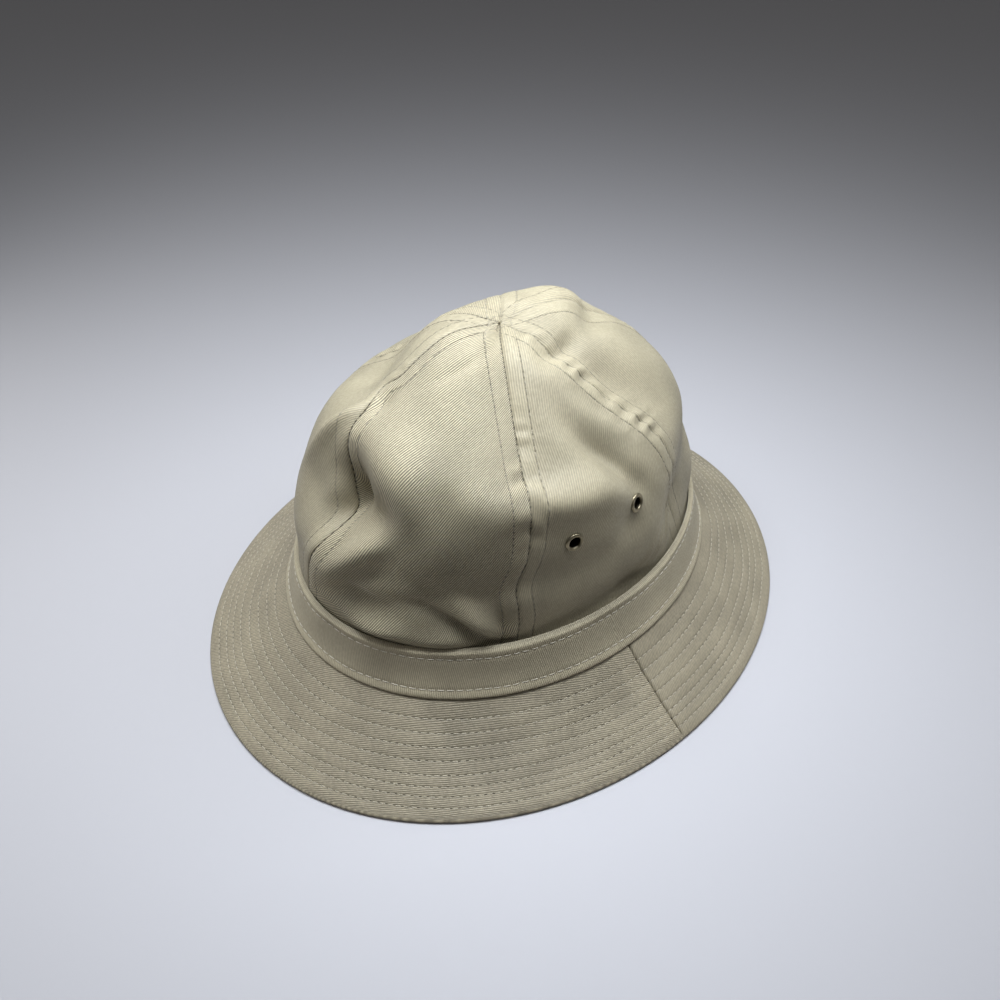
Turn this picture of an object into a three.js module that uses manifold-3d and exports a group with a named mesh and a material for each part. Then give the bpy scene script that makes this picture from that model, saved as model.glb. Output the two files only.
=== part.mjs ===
// A soft cotton-twill safari bucket hat, standing on its brim.
// Millimetres, +Z up. The front of the hat faces -Y, the wearer's left side is +X.
// The origin is on the ground, in the middle of the brim.
//
// Pieces: six crown panels that meet at the apex, a doubled hatband round the foot of the crown,
// a brim in two halves, and two vent eyelets in each side panel.
import * as THREE from "three";
import { mergeVertices } from "three/addons/utils/BufferGeometryUtils.js";
import Module from "manifold-3d";

// Cloth thicknesses and the clearance between neighbouring pieces
const PANEL_CLOTH = 1.2;
const BAND_CLOTH = 1.8;
const BRIM_CLOTH = 2.4;
const CLEARANCE = 0.3;

// The brim: a sloping oval ring from the crown's foot down to the ground, in two halves sewn at the sides.
// Its seams lie at seamTurn and on the opposite side, in degrees from +X towards +Y. The edge is the height
// of the cloth where it meets the ground, and the footing the share of the slope that lies flat there.
const BRIM = {
  halfLength: 145.5,
  halfWidth: 121.5,
  innerHalfLength: 102.4,
  innerHalfWidth: 82.6,
  height: 30.2,
  edge: 1.9,
  footing: 0.045,
  sag: 2.2,
  seamTurn: 3,
  steps: 46,
  rings: 5,
};

// The band: a strip that leans inwards as it rises, outside the foot of the crown.
// Its lower edge is bevelled to lie along the brim.
const BAND = {
  bottomHalfLength: 104.9,
  bottomHalfWidth: 85.5,
  topHalfLength: 97.3,
  topHalfWidth: 76.6,
  bottom: 28.5,
  top: 49.5,
  bevel: 1.5,
  steps: 76,
  rings: 2,
};

// Level sections of the crown, from its hem behind the band up to the apex
const CROWN_SECTIONS = [
  { level: "hem", z: 29.5, halfLength: 101.6, halfWidth: 81.8 },
  { level: "band top", z: 49.5, halfLength: 94.7, halfWidth: 74 },
  { level: "bulge", z: 76, halfLength: 93, halfWidth: 73 },
  { level: "shoulder", z: 110, halfLength: 77, halfWidth: 60.5 },
  { level: "top", z: 136, halfLength: 40, halfWidth: 33 },
  { level: "crest", z: 146, halfLength: 18, halfWidth: 15 },
  { level: "apex", z: 149.4, halfLength: 0.9, halfWidth: 0.8 },
];

// The six seams, named by where they lie. Each wanders a little as the cloth settles:
// its turn, in degrees from +X towards +Y, at the hem, halfway up and at the apex.
const SEAMS = [
  { seam: "front", hemTurn: -97, midTurn: -93, topTurn: -118 },
  { seam: "front left", hemTurn: -28, midTurn: -22, topTurn: -33 },
  { seam: "back left", hemTurn: 36, midTurn: 28, topTurn: 12 },
  { seam: "back", hemTurn: 90, midTurn: 90, topTurn: 86 },
  { seam: "back right", hemTurn: 150, midTurn: 150, topTurn: 147 },
  { seam: "front right", hemTurn: 210, midTurn: 208, topTurn: 200 },
];

// Dents and swells of the soft crown. Each is centred at a turn (degrees) and a way up the meridian curve
// from the hem (mm), spreads along both, and pushes the cloth in by its depth (mm; negative swells out).
// Slant leans it: degrees of turn for each mm up.
const CROWN_FOLDS = [
  { fold: "front dent", turn: -84, up: 82, spreadTurn: 12, spreadUp: 19, depth: 20, slant: -0.1 },
  { fold: "ridge beside the dent", turn: -59, up: 90, spreadTurn: 10, spreadUp: 20, depth: -4.5, slant: 0 },
  { fold: "valley under the ridge", turn: -66, up: 56, spreadTurn: 9, spreadUp: 20, depth: 3, slant: 0.5 },
  { fold: "front left bulge", turn: -34, up: 86, spreadTurn: 20, spreadUp: 16, depth: -3, slant: 0 },
  { fold: "front left slump", turn: -38, up: 52, spreadTurn: 26, spreadUp: 13, depth: 3, slant: 0 },
  { fold: "pooled fold", turn: -54, up: 38, spreadTurn: 15, spreadUp: 8, depth: -2, slant: 0 },
  { fold: "left valley", turn: 9, up: 101, spreadTurn: 7.5, spreadUp: 25, depth: 4, slant: -0.4 },
  { fold: "left swell", turn: 0, up: 82, spreadTurn: 17, spreadUp: 13, depth: -3, slant: -0.3 },
  { fold: "left slump", turn: -2, up: 48, spreadTurn: 17, spreadUp: 12, depth: 2.5, slant: 0 },
  { fold: "back left hollow", turn: 33, up: 42, spreadTurn: 10, spreadUp: 13, depth: 6, slant: 0 },
  { fold: "back left sag", turn: 26, up: 122, spreadTurn: 24, spreadUp: 26, depth: 3.5, slant: 0 },
  { fold: "back left slack", turn: 54, up: 54, spreadTurn: 18, spreadUp: 16, depth: 4.5, slant: 0 },
  { fold: "back hump", turn: 95, up: 140, spreadTurn: 34, spreadUp: 20, depth: -3, slant: 0 },
  { fold: "front right slack", turn: -130, up: 120, spreadTurn: 26, spreadUp: 24, depth: 3, slant: 0 },
  { fold: "right slope", turn: 186, up: 122, spreadTurn: 42, spreadUp: 30, depth: 4, slant: 0 },
  { fold: "right slump", turn: 165, up: 50, spreadTurn: 28, spreadUp: 13, depth: 3, slant: 0 },
  { fold: "back right valley", turn: 122, up: 78, spreadTurn: 12, spreadUp: 24, depth: 3, slant: 0.3 },
];

const PANELS = [
  "crown_panel_front_left",
  "crown_panel_left",
  "crown_panel_back_left",
  "crown_panel_back_right",
  "crown_panel_right",
  "crown_panel_front_right",
];
const PANEL_COLUMNS = 12;
const PANEL_ROWS = 20;

// Vent eyelets: their panel, turn (degrees), way up the meridian curve (mm), and the metal's size
const EYELETS = [
  { name: "eyelet_left_front", panel: "crown_panel_left", turn: -10, up: 65 },
  { name: "eyelet_left_back", panel: "crown_panel_left", turn: 12, up: 65 },
  { name: "eyelet_right_front", panel: "crown_panel_right", turn: 190, up: 65 },
  { name: "eyelet_right_back", panel: "crown_panel_right", turn: 168, up: 65 },
];
const EYELET = {
  flangeRadius: 3.9,
  lipRadius: 3.5,
  barrelRadius: 2.8,
  boreRadius: 2.35,
  metal: 0.5,
  standOff: 0.55,
  segments: 16,
  holeLength: 8,
};

const TWILL = new THREE.MeshStandardMaterial({ color: 0xaea48c, roughness: 0.85, metalness: 0 });
const METAL = new THREE.MeshStandardMaterial({ color: 0xa39a78, roughness: 0.3, metalness: 1 });

// Steps of turn (degrees) and share over which a face's outward direction is taken
const SLOPE_STEP = { turn: 0.5, share: 0.01 };
const MERGE_DISTANCE = 1e-4;

const wasm = await Module();
wasm.setup();
const rad = THREE.MathUtils.degToRad;

// The crown's meridian: x carries the half width, y the half length and z the height
const meridian = new THREE.CatmullRomCurve3(
  CROWN_SECTIONS.map((row) => new THREE.Vector3(row.halfWidth, row.halfLength, row.z)),
);
const MERIDIAN_LENGTH = meridian.getLength();

// The turn of a seam at a share of the way from hem (0) to apex (1)
function seamTurn({ hemTurn, midTurn, topTurn }, share) {
  const rest = 1 - share;
  return hemTurn * rest * (rest - share) + midTurn * 4 * rest * share + topTurn * share * (share - rest);
}

// How far the folds push the cloth in at a turn and a way up the cloth
function foldDepth(turn, up) {
  let depth = 0;
  for (const fold of CROWN_FOLDS) {
    const rise = up - fold.up;
    const centre = fold.turn + fold.slant * rise;
    const across = THREE.MathUtils.euclideanModulo(turn - centre + 180, 360) - 180;
    depth += fold.depth * Math.exp(-((across / fold.spreadTurn) ** 2) - (rise / fold.spreadUp) ** 2);
  }
  return depth;
}

// The smooth crown before it is dented: turn in degrees round the oval, share from hem (0) to apex (1)
function smoothPoint(turn, share) {
  const section = meridian.getPointAt(THREE.MathUtils.clamp(share, 0, 1));
  return new THREE.Vector3(section.x * Math.cos(rad(turn)), section.y * Math.sin(rad(turn)), section.z);
}

// The outward direction of a face given as a function of turn and share
function outward(face, turn, share) {
  const level = THREE.MathUtils.clamp(share, SLOPE_STEP.share, 1 - 2 * SLOPE_STEP.share);
  const along = face(turn + SLOPE_STEP.turn, level).sub(face(turn - SLOPE_STEP.turn, level));
  const up = face(turn, level + SLOPE_STEP.share).sub(face(turn, level - SLOPE_STEP.share));
  return along.cross(up).normalize();
}

// A point of the crown's outer face, dents and all
function crownPoint(turn, share) {
  const depth = foldDepth(turn, share * MERIDIAN_LENGTH);
  return smoothPoint(turn, share).addScaledVector(outward(smoothPoint, turn, share), -depth);
}

// Closes a grid of outer points and a matching grid of inner points into one thin solid
function shellGeometry(outer, inner, closedRound) {
  const rows = outer.length;
  const columns = outer[0].length;
  const vertices = [...outer.flat(), ...inner.flat()];
  const at = (side, i, j) => side * rows * columns + i * columns + (j % columns);
  const faces = [];
  const quad = (a, b, c, d) => faces.push(a, b, c, a, c, d);
  const spans = closedRound ? columns : columns - 1;
  for (let i = 0; i < rows - 1; i++) {
    for (let j = 0; j < spans; j++) {
      quad(at(0, i, j), at(0, i, j + 1), at(0, i + 1, j + 1), at(0, i + 1, j));
      quad(at(1, i, j), at(1, i + 1, j), at(1, i + 1, j + 1), at(1, i, j + 1));
    }
  }
  for (let j = 0; j < spans; j++) {
    quad(at(0, 0, j), at(1, 0, j), at(1, 0, j + 1), at(0, 0, j + 1));
    quad(at(0, rows - 1, j), at(0, rows - 1, j + 1), at(1, rows - 1, j + 1), at(1, rows - 1, j));
  }
  if (!closedRound) {
    const last = columns - 1;
    for (let i = 0; i < rows - 1; i++) {
      quad(at(0, i, 0), at(0, i + 1, 0), at(1, i + 1, 0), at(1, i, 0));
      quad(at(0, i, last), at(1, i, last), at(1, i + 1, last), at(0, i + 1, last));
    }
  }
  const geometry = new THREE.BufferGeometry();
  geometry.setAttribute(
    "position",
    new THREE.Float32BufferAttribute(vertices.flatMap((v) => v.toArray()), 3),
  );
  geometry.setIndex(faces);
  return geometry;
}

// A three.js geometry as a manifold solid, and back
function solidFrom(geometry, matrix) {
  const bare = geometry.clone();
  bare.deleteAttribute("normal");
  bare.deleteAttribute("uv");
  if (matrix) bare.applyMatrix4(matrix);
  const merged = mergeVertices(bare, MERGE_DISTANCE);
  return new wasm.Manifold(
    new wasm.Mesh({
      numProp: 3,
      vertProperties: merged.attributes.position.array,
      triVerts: new Uint32Array(merged.index.array),
    }),
  );
}
function geometryFrom(solid) {
  const mesh = solid.getMesh();
  const geometry = new THREE.BufferGeometry();
  geometry.setAttribute("position", new THREE.Float32BufferAttribute(mesh.vertProperties, 3));
  geometry.setIndex(new THREE.BufferAttribute(mesh.triVerts, 1));
  return geometry;
}

// One gore of the crown between two seams, with a narrow sewing gap left along both
function panelGeometry(index) {
  const seam = SEAMS[index];
  const next = SEAMS[(index + 1) % SEAMS.length];
  const lap = index + 1 === SEAMS.length ? 360 : 0;
  const outer = [];
  const inner = [];
  for (let i = 0; i <= PANEL_ROWS; i++) {
    const share = i / PANEL_ROWS;
    const section = meridian.getPointAt(share);
    const inset = THREE.MathUtils.radToDeg((0.5 * CLEARANCE) / section.x);
    const from = seamTurn(seam, share) + inset;
    const to = seamTurn(next, share) + lap - inset;
    const outerRow = [];
    const innerRow = [];
    for (let j = 0; j <= PANEL_COLUMNS; j++) {
      const turn = THREE.MathUtils.lerp(from, to, j / PANEL_COLUMNS);
      const point = crownPoint(turn, share);
      outerRow.push(point);
      innerRow.push(point.clone().addScaledVector(outward(crownPoint, turn, share), -PANEL_CLOTH));
    }
    outer.push(outerRow);
    inner.push(innerRow);
  }
  return shellGeometry(outer, inner, false);
}

// Sits an upright piece on the crown's face, its +Y along the outward direction
function placeOnCrown(object, turn, up) {
  const share = up / MERIDIAN_LENGTH;
  object.position.copy(crownPoint(turn, share));
  object.quaternion.setFromUnitVectors(new THREE.Vector3(0, 1, 0), outward(crownPoint, turn, share));
  object.updateMatrix();
}

// A rolled metal eyelet: flange outside, barrel through the cloth, clinched lip inside
function eyeletGeometry() {
  const { flangeRadius, lipRadius, barrelRadius, boreRadius, metal, standOff, segments } = EYELET;
  const back = -PANEL_CLOTH - standOff;
  const profile = [
    [boreRadius, back - metal],
    [lipRadius, back - metal],
    [lipRadius, back],
    [barrelRadius, back],
    [barrelRadius, standOff],
    [flangeRadius, standOff],
    [flangeRadius - 0.5 * metal, standOff + metal],
    [barrelRadius, standOff + 1.5 * metal],
    [boreRadius, standOff + metal],
    [boreRadius, back - metal],
  ];
  return new THREE.LatheGeometry(profile.map(([r, y]) => new THREE.Vector2(r, y)), segments);
}

// A row of points along a level oval, from one turn to another
function ovalRow({ halfWidth, halfLength, z, from = 0, to = 360, steps, closedRound }) {
  const row = [];
  const count = closedRound ? steps : steps + 1;
  for (let j = 0; j < count; j++) {
    const angle = rad(THREE.MathUtils.lerp(from, to, j / steps));
    row.push(new THREE.Vector3(halfWidth * Math.cos(angle), halfLength * Math.sin(angle), z));
  }
  return row;
}

// Half of the brim, from its flat edge on the ground up to the crown's foot
function brimGeometry(startTurn) {
  const slope = Math.atan2(BRIM.height - BRIM.edge, BRIM.halfWidth - BRIM.innerHalfWidth);
  const upright = BRIM_CLOTH / Math.cos(slope);
  const gapTurn = THREE.MathUtils.radToDeg((0.5 * CLEARANCE) / BRIM.innerHalfWidth);
  const arc = { from: startTurn + gapTurn, to: startTurn + 180 - gapTurn, steps: BRIM.steps };
  const shares = [0];
  for (let i = 0; i <= BRIM.rings; i++) {
    shares.push(THREE.MathUtils.lerp(BRIM.footing, 1, i / BRIM.rings));
  }
  const outer = [];
  const inner = [];
  for (const share of shares) {
    const halfWidth = THREE.MathUtils.lerp(BRIM.halfWidth, BRIM.innerHalfWidth, share);
    const halfLength = THREE.MathUtils.lerp(BRIM.halfLength, BRIM.innerHalfLength, share);
    const z = THREE.MathUtils.lerp(BRIM.edge, BRIM.height, share) - BRIM.sag * Math.sin(Math.PI * share);
    outer.push(ovalRow({ halfWidth, halfLength, z, ...arc }));
    inner.push(ovalRow({ halfWidth, halfLength, z: Math.max(0, z - upright), ...arc }));
  }
  return shellGeometry(outer, inner, false);
}

// The band: a thin ring that leans in as it rises
function bandGeometry() {
  const outer = [];
  const inner = [];
  const round = { steps: BAND.steps, closedRound: true };
  for (let i = 0; i <= BAND.rings; i++) {
    const share = i / BAND.rings;
    const halfWidth = THREE.MathUtils.lerp(BAND.bottomHalfWidth, BAND.topHalfWidth, share);
    const halfLength = THREE.MathUtils.lerp(BAND.bottomHalfLength, BAND.topHalfLength, share);
    const z = THREE.MathUtils.lerp(BAND.bottom, BAND.top, share);
    const lift = i === 0 ? BAND.bevel : 0;
    outer.push(ovalRow({ halfWidth, halfLength, z, ...round }));
    inner.push(
      ovalRow({ halfWidth: halfWidth - BAND_CLOTH, halfLength: halfLength - BAND_CLOTH, z: z + lift, ...round }),
    );
  }
  return shellGeometry(outer, inner, true);
}

function named(name, geometry, material) {
  const mesh = new THREE.Mesh(geometry, material);
  mesh.name = name;
  return mesh;
}

const hat = new THREE.Group();
hat.name = "bucket_hat";

const hole = new THREE.CylinderGeometry(
  EYELET.barrelRadius + CLEARANCE,
  EYELET.barrelRadius + CLEARANCE,
  EYELET.holeLength,
  EYELET.segments,
);
PANELS.forEach((name, index) => {
  let panel = solidFrom(panelGeometry(index));
  for (const eyelet of EYELETS.filter((row) => row.panel === name)) {
    const place = new THREE.Object3D();
    placeOnCrown(place, eyelet.turn, eyelet.up);
    panel = panel.subtract(solidFrom(hole, place.matrix));
  }
  hat.add(named(name, geometryFrom(panel), TWILL));
});
for (const { name, turn, up } of EYELETS) {
  const eyelet = named(name, eyeletGeometry(), METAL);
  placeOnCrown(eyelet, turn, up);
  hat.add(eyelet);
}
hat.add(named("band", bandGeometry(), TWILL));
hat.add(named("brim_back", brimGeometry(BRIM.seamTurn), TWILL));
hat.add(named("brim_front", brimGeometry(BRIM.seamTurn + 180), TWILL));

export default hat;
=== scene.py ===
"""A soft cotton-twill safari bucket hat that stands on its brim, in the photograph's light and view.

Lengths in the tables are millimetres. Turns are degrees from +X, the wearer's left, towards +Y, the back.
A way up the crown is measured in millimetres along the cloth, from the hem behind the band to the apex.
"""

import math
from collections import namedtuple
from functools import partial, reduce
from types import SimpleNamespace

import bpy
import numpy as np
from mathutils import Matrix, Vector


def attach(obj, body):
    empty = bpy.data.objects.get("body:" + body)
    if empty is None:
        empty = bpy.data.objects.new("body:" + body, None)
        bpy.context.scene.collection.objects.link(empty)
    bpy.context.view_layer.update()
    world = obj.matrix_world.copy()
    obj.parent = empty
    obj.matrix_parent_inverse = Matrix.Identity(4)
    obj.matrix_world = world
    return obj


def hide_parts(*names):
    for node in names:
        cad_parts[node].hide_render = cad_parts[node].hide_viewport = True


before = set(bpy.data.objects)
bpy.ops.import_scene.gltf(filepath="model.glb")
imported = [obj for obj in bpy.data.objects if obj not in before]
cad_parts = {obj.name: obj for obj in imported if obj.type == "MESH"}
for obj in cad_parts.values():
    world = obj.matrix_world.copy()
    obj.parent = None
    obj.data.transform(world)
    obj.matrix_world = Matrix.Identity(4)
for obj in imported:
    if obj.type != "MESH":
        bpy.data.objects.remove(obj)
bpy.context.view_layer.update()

MM = 0.001

# How far apart stitches are, how long and thick their thread is, and how far its middle rises off the cloth
Stitch = namedtuple("Stitch", "pitch length radius rise")
SEAM_STITCH = Stitch(3.0, 2.3, 0.15, 0.05)
BAND_STITCH = Stitch(3.8, 3.5, 0.2, 0.18)
BRIM_STITCH = Stitch(3.2, 2.5, 0.19, 0.13)

# How far slack lifts the cloth, in broad and in fine waves
CROWN_SLACK = (0.3, 0.1)
BAND_SLACK = (0.22, 0.08)

# The crown: level sections from the hem up, seams that wander as the cloth settles, and dents and swells
Section = namedtuple("Section", "level z half_length half_width")
CROWN_SECTIONS = [
    Section("hem", 29.5, 101.6, 81.8),
    Section("band top", 49.5, 94.7, 74),
    Section("bulge", 76, 93, 73),
    Section("shoulder", 110, 77, 60.5),
    Section("top", 136, 40, 33),
    Section("crest", 146, 18, 15),
    Section("apex", 149.4, 0.15, 0.12),
]
# The cloth beside a seam ripples by pucker, most at pucker_up, and closed is how tightly its ditch shuts,
# which also fades the painted shade along the ditch
Seam = namedtuple("Seam", "name hem_turn mid_turn top_turn pucker pucker_up pucker_spread closed")
SEAMS = [
    Seam("front", -97, -93, -118, 0.16, 125, 40, 0.0),
    Seam("front left", -28, -22, -33, 0.8, 94, 26, 0.12),
    Seam("back left", 36, 28, 12, 0.8, 118, 58, 0.22),
    Seam("back", 90, 90, 86, 0.3, 110, 50, 0.3),
    Seam("back right", 150, 150, 147, 0.36, 105, 50, 0.3),
    Seam("front right", 210, 208, 200, 0.36, 100, 45, 0.1),
]
# Where a seam bends aside, by so many degrees
Bend = namedtuple("Bend", "seam up spread turn")
BENDS = [
    Bend("front", 62, 18, 6),
    Bend("front", 129, 7, -7),
    Bend("front left", 48, 12, -2.2),
]
Fold = namedtuple("Fold", "name turn up spread_turn spread_up depth slant", defaults=[0])
CROWN_FOLDS = [
    Fold("front dent", -84, 82, 12, 19, 20, -0.1),
    Fold("ridge beside the dent", -59, 90, 10, 20, -4.5),
    Fold("valley under the ridge", -66, 56, 9, 20, 3, 0.5),
    Fold("front left bulge", -34, 86, 20, 16, -3),
    Fold("front left slump", -38, 52, 26, 13, 3),
    Fold("pooled fold", -54, 38, 15, 8, -2),
    Fold("left valley", 9, 101, 7.5, 25, 4, -0.4),
    Fold("left swell", 0, 82, 17, 13, -3, -0.3),
    Fold("left slump", -2, 48, 17, 12, 2.5),
    Fold("back left hollow", 33, 42, 10, 13, 6),
    Fold("back left sag", 26, 122, 24, 26, 3.5),
    Fold("back left slack", 54, 54, 18, 16, 4.5),
    Fold("back hump", 95, 140, 34, 20, -3),
    Fold("front right slack", -130, 120, 26, 24, 3),
    Fold("right slope", 186, 122, 42, 30, 4),
    Fold("right slump", 165, 50, 28, 13, 3),
    Fold("back right valley", 122, 78, 12, 24, 3, 0.3),
]
# Finer creases that only the cloth shows
CREASES = [
    Fold("nose beside the seam", -36, 37, 3.5, 10, -4, -0.4),
    Fold("valley to the tuck", -41, 33, 4, 10, 4.2, -0.9),
    Fold("pooled edge", -63, 29, 10, 4.5, -4.4),
    Fold("ridge along the front seam", -80, 66, 4, 15, -1.7, 0.5),
    Fold("front left lap", -71, 60, 6.5, 18, -5.3, 0.57),
    Fold("light patch at the front", -65, 46, 6, 7, -2.2, 0.1),
    Fold("swell under the bulge", -40, 55, 20, 9, -1),
    Fold("front left shoulder", -74, 103, 32, 15, -4.7, -0.7),
    Fold("foot of the front dent", -87, 68, 7, 9.5, 4.3),
    Fold("right wall of the dent", -64, 94, 7, 15, 1.5, 0.1),
    Fold("ridge left of the front seam", -105, 97, 3.5, 20, -4, 0.3),
    Fold("front right hollow", -110, 96, 7, 15, 0.8),
    Fold("front right foot", -99, 71, 9, 16, 4.7),
    Fold("left pooled edge", -8, 24, 14, 7, 1.5),
    Fold("left valley", 9, 86, 4.9, 21, 6.3, -0.32),
    Fold("dip beside the back left seam", 17, 114, 5.5, 25, 1, -0.4),
    Fold("left swell", -16, 85, 15, 10, -3.8, -0.74),
    Fold("lower left swell", -12, 66, 17, 14, -1.2, -0.5),
    Fold("hollow by the back eyelet", 9, 60, 5, 9.5, 2.5, -0.1),
    Fold("slack beside the front left seam", -25, 122, 13, 53, 4.7, -0.2),
    Fold("hollow behind the apex", 39, 154, 21, 7.5, 3.5),
    Fold("hollow before the back left seam", 13, 159, 13, 8.5, 3.5),
    Fold("fold across the back", 64, 145, 16, 8, 2),
    Fold("front left crest", -70, 122, 14, 17, -0.7),
    Fold("front left cheek", -49, 92, 8, 14, 2.7, -0.2),
    Fold("back left slack", 40, 103, 15, 48, 4.7, -0.16),
    Fold("dip at the apex", 0, 195, 999, 22, 4.5),
    Fold("crease in the back left hollow", 28, 34, 1.8, 10, -2, 0.3),
    Fold("second crease in the hollow", 21.5, 33, 1.8, 9, -1.8, 0.3),
    Fold("hollow right of the front seam", -66, 79, 9.5, 10, 7.2),
    Fold("left wall of the dent", -93, 77, 6, 11, -4),
    Fold("front right shoulder", -126, 100, 14, 14, -1.5),
    Fold("front right slope", -130, 121, 22, 15, 3),
    Fold("pooled edge at the nose", -45, 26.5, 10, 4.5, -3),
    Fold("valley along the stitch row", -29.3, 33, 1.6, 9, 1.3, -0.1),
    Fold("light patch over the pooled fold", -53.5, 48.5, 5, 5, -1.5),
    Fold("hump across the front left seam", -24.5, 42.5, 5.5, 6, -1.4),
    Fold("gap behind the band", 9, 23.5, 7, 6, 2.5),
    Fold("back hump", 102, 153, 30, 14, -3.8),
    Fold("back left side", 52, 66, 14, 20, -2.8),
    Fold("valley left of the apex", -60, 156, 7, 14, 0.9, 1.1),
    Fold("notch behind the back left seam", 80, 141, 14, 14, 4.5),
    Fold("rise behind the apex", 112, 177, 45, 10, -1.8),
    Fold("valley over the pooled fold", -66, 39, 11, 7, 5),
    Fold("back left foot", 58, 33, 14, 13, -2.5),
    Fold("front foot", -100, 24, 16, 8, -1.2),
    Fold("third crease in the hollow", 16.5, 35, 1.8, 8, -1.4, 0.3),
    Fold("dip beside the front seam", -93, 124, 5, 9, 2.2),
    Fold("undercut at the front left", -48, 46, 18, 11, 4),
]
# The gores: how far their wales lean, in degrees, how boldly these show, and how dark the painted shade
# along their stitch rows is
Panel = namedtuple("Panel", "name lean contrast row_dark")
PANELS = [
    # The front left gore's wales show boldest: painted shade between them and painted light on them, where
    # the light grazes that gore
    Panel("crown_panel_front_left", 31, 1.35, 0.7),
    Panel("crown_panel_left", 24, 0.33, 0.55),
    Panel("crown_panel_back_left", 20, 0.42, 0.5),
    Panel("crown_panel_back_right", 31, 0.42, 0.4),
    Panel("crown_panel_right", 24, 0.42, 0.4),
    Panel("crown_panel_front_right", 12, 0.42, 0.5),
]
PANEL_CLOTH = 1.2
PANEL_LEVELS = 190
PANEL_MIDDLE_COLUMNS = 48
# Distances from a seam at which a panel has columns, close together at the ditch and at the stitch row
STRIP_COLUMNS = np.array([0, 0.3, 0.7, 1.3, 2.1, 3.0, 4.0, 4.8, 5.4, 5.9, 6.2, 6.4, 6.6, 6.9, 7.5, 8.6])
STRIP_SHARE = 0.42
SEAM_STITCH_ROW = 6.4
SEAM_ROW_PAST_APEX = 5.0
SEAM_ROW_ABOVE_HEM = 24.0
SEAM_RELIEF = SimpleNamespace(ditch=0.28, ditch_width=0.32, strip=0.35, dent=0.22, dent_width=0.6)
# The puckers' length, how they differ from seam to seam and side to side, how unevenly they come and go, how
# they slant and sway, and how far they reach past the stitch row
PUCKER = SimpleNamespace(
    length=12.0, seam_shift=2.1, side_shift=0.9, uneven=0.35, uneven_length=6.3, uneven_shift=2.7,
    slant=0.35, sway=2.4, sway_length=9.1, jitter=1.1, jitter_length=4.3, outside=0.3, outside_width=5.0,
)
# The ways up between which the crown comes clear of the band
CLEAR_OF_BAND = (20, 32)

# The band: a doubled strip round the foot of the crown that leans in as it rises
BAND = SimpleNamespace(
    bottom_half_length=104.9, bottom_half_width=85.5, top_half_length=97.3, top_half_width=76.6,
    bottom=28.5, top=49.5, cloth=1.8, stations=440,
)
BAND_ROWS = (4.3, 18.4)
BAND_RELIEF = SimpleNamespace(roll=0.35, top_turn=1.1, hollow=0.55, flare=0.45, low_turn=0.7, dent=0.28)
BAND_LEAN = 0.5 * (
    BAND.bottom_half_width - BAND.top_half_width + BAND.bottom_half_length - BAND.top_half_length
)
BAND_SLANT = math.hypot(BAND_LEAN, BAND.top - BAND.bottom)

# The brim: a sloping oval ring in two halves, row-stitched
BRIM = SimpleNamespace(
    half_length=145.5, half_width=121.5, inner_half_length=102.4, inner_half_width=82.6,
    height=30.2, edge=1.9, sag=2.2, cloth=2.4, seam_turn=3, stations=250,
)
# The share of the slope, from the edge up, where the band begins to hide the brim, the way down the cloth
# from there to the edge, and the stitch rows' ways down
BRIM_BAND_SHARE = 0.93
BRIM_SLANT = 51.0
BRIM_ROWS = (7.5, 13.3, 19.1, 24.9, 31.0, 36.0, 40.3, 45.3)
BRIM_ROW_SHARES = np.array([BRIM_BAND_SHARE * (1 - row / BRIM_SLANT) for row in BRIM_ROWS])
BRIM_RELIEF = SimpleNamespace(quilt=0.05, dent=0.16, uneven=0.16, slack=0.22, ditch=0.85)
# Distances from a stitch row, and from a half's end, at which the brim has columns and stations
BRIM_ROW_COLUMNS = np.array([-1.6, -0.7, -0.3, 0, 0.3, 0.7, 1.6])
BRIM_END_STATIONS = np.array([0, 0.25, 0.6, 1.2, 2.5])
BRIM_END_CLEAR = 4
BRIM_HALF_ROUND = math.pi * 110
# The round edge, in degrees from level: the first half faces up and the second half down
BRIM_EDGE_TURNS = (70, 45, 20, -5, -30, -55)
BRIM_LEVEL_WIDTH = 0.5 * (
    BRIM.half_width - BRIM.inner_half_width + BRIM.half_length - BRIM.inner_half_length
)
BRIM_SLOPE = math.atan2(BRIM.height - BRIM.edge, BRIM.half_width - BRIM.inner_half_width)
# Each half starts at a side seam, where the front half laps over the back one and is raised
BrimHalf = namedtuple("BrimHalf", "name start_turn raised")
BRIM_HALVES = [
    BrimHalf("brim_back", BRIM.seam_turn, 0.0),
    BrimHalf("brim_front", BRIM.seam_turn + 180, 0.35),
]

Eyelet = namedtuple("Eyelet", "name panel turn up")
EYELETS = [
    Eyelet("eyelet_left_front", "crown_panel_left", -10, 65),
    Eyelet("eyelet_left_back", "crown_panel_left", 12, 65),
    Eyelet("eyelet_right_front", "crown_panel_right", 190, 65),
    Eyelet("eyelet_right_back", "crown_panel_right", 168, 65),
]
# The hole in the cloth, how far round it the cloth is drawn to a circle, and how far off its plane
EYELET_HOLE = 2.75
EYELET_EASE = 0.8
EYELET_REACH = 6
EYELET_SIDES = 56
Flange = namedtuple("Flange", "inside half_width seat height")
EYELET_FLANGE = Flange(2.35, 0.78, 0.15, 0.62)
EYELET_FOOT = (3.85, 0.02)
EYELET_BARREL = 2.8
# The clinched lip inside the hat: radius and way below the cloth
EYELET_LIP = [(3.4, 0.25), (3.3, 0.6), (2.75, 0.75), (2.4, 0.45)]


def smooth(value, low, high):
    """0 below low, 1 above high and an even rise between."""
    share = np.clip((value - low) / (high - low), 0, 1)
    return share * share * (3 - 2 * share)


def bell(value, width):
    return np.exp(-((value / width) ** 2))


def between(start, end, share):
    return start + (end - start) * share


def unit(vectors):
    return vectors / np.linalg.norm(vectors, axis=-1, keepdims=True)


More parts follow.
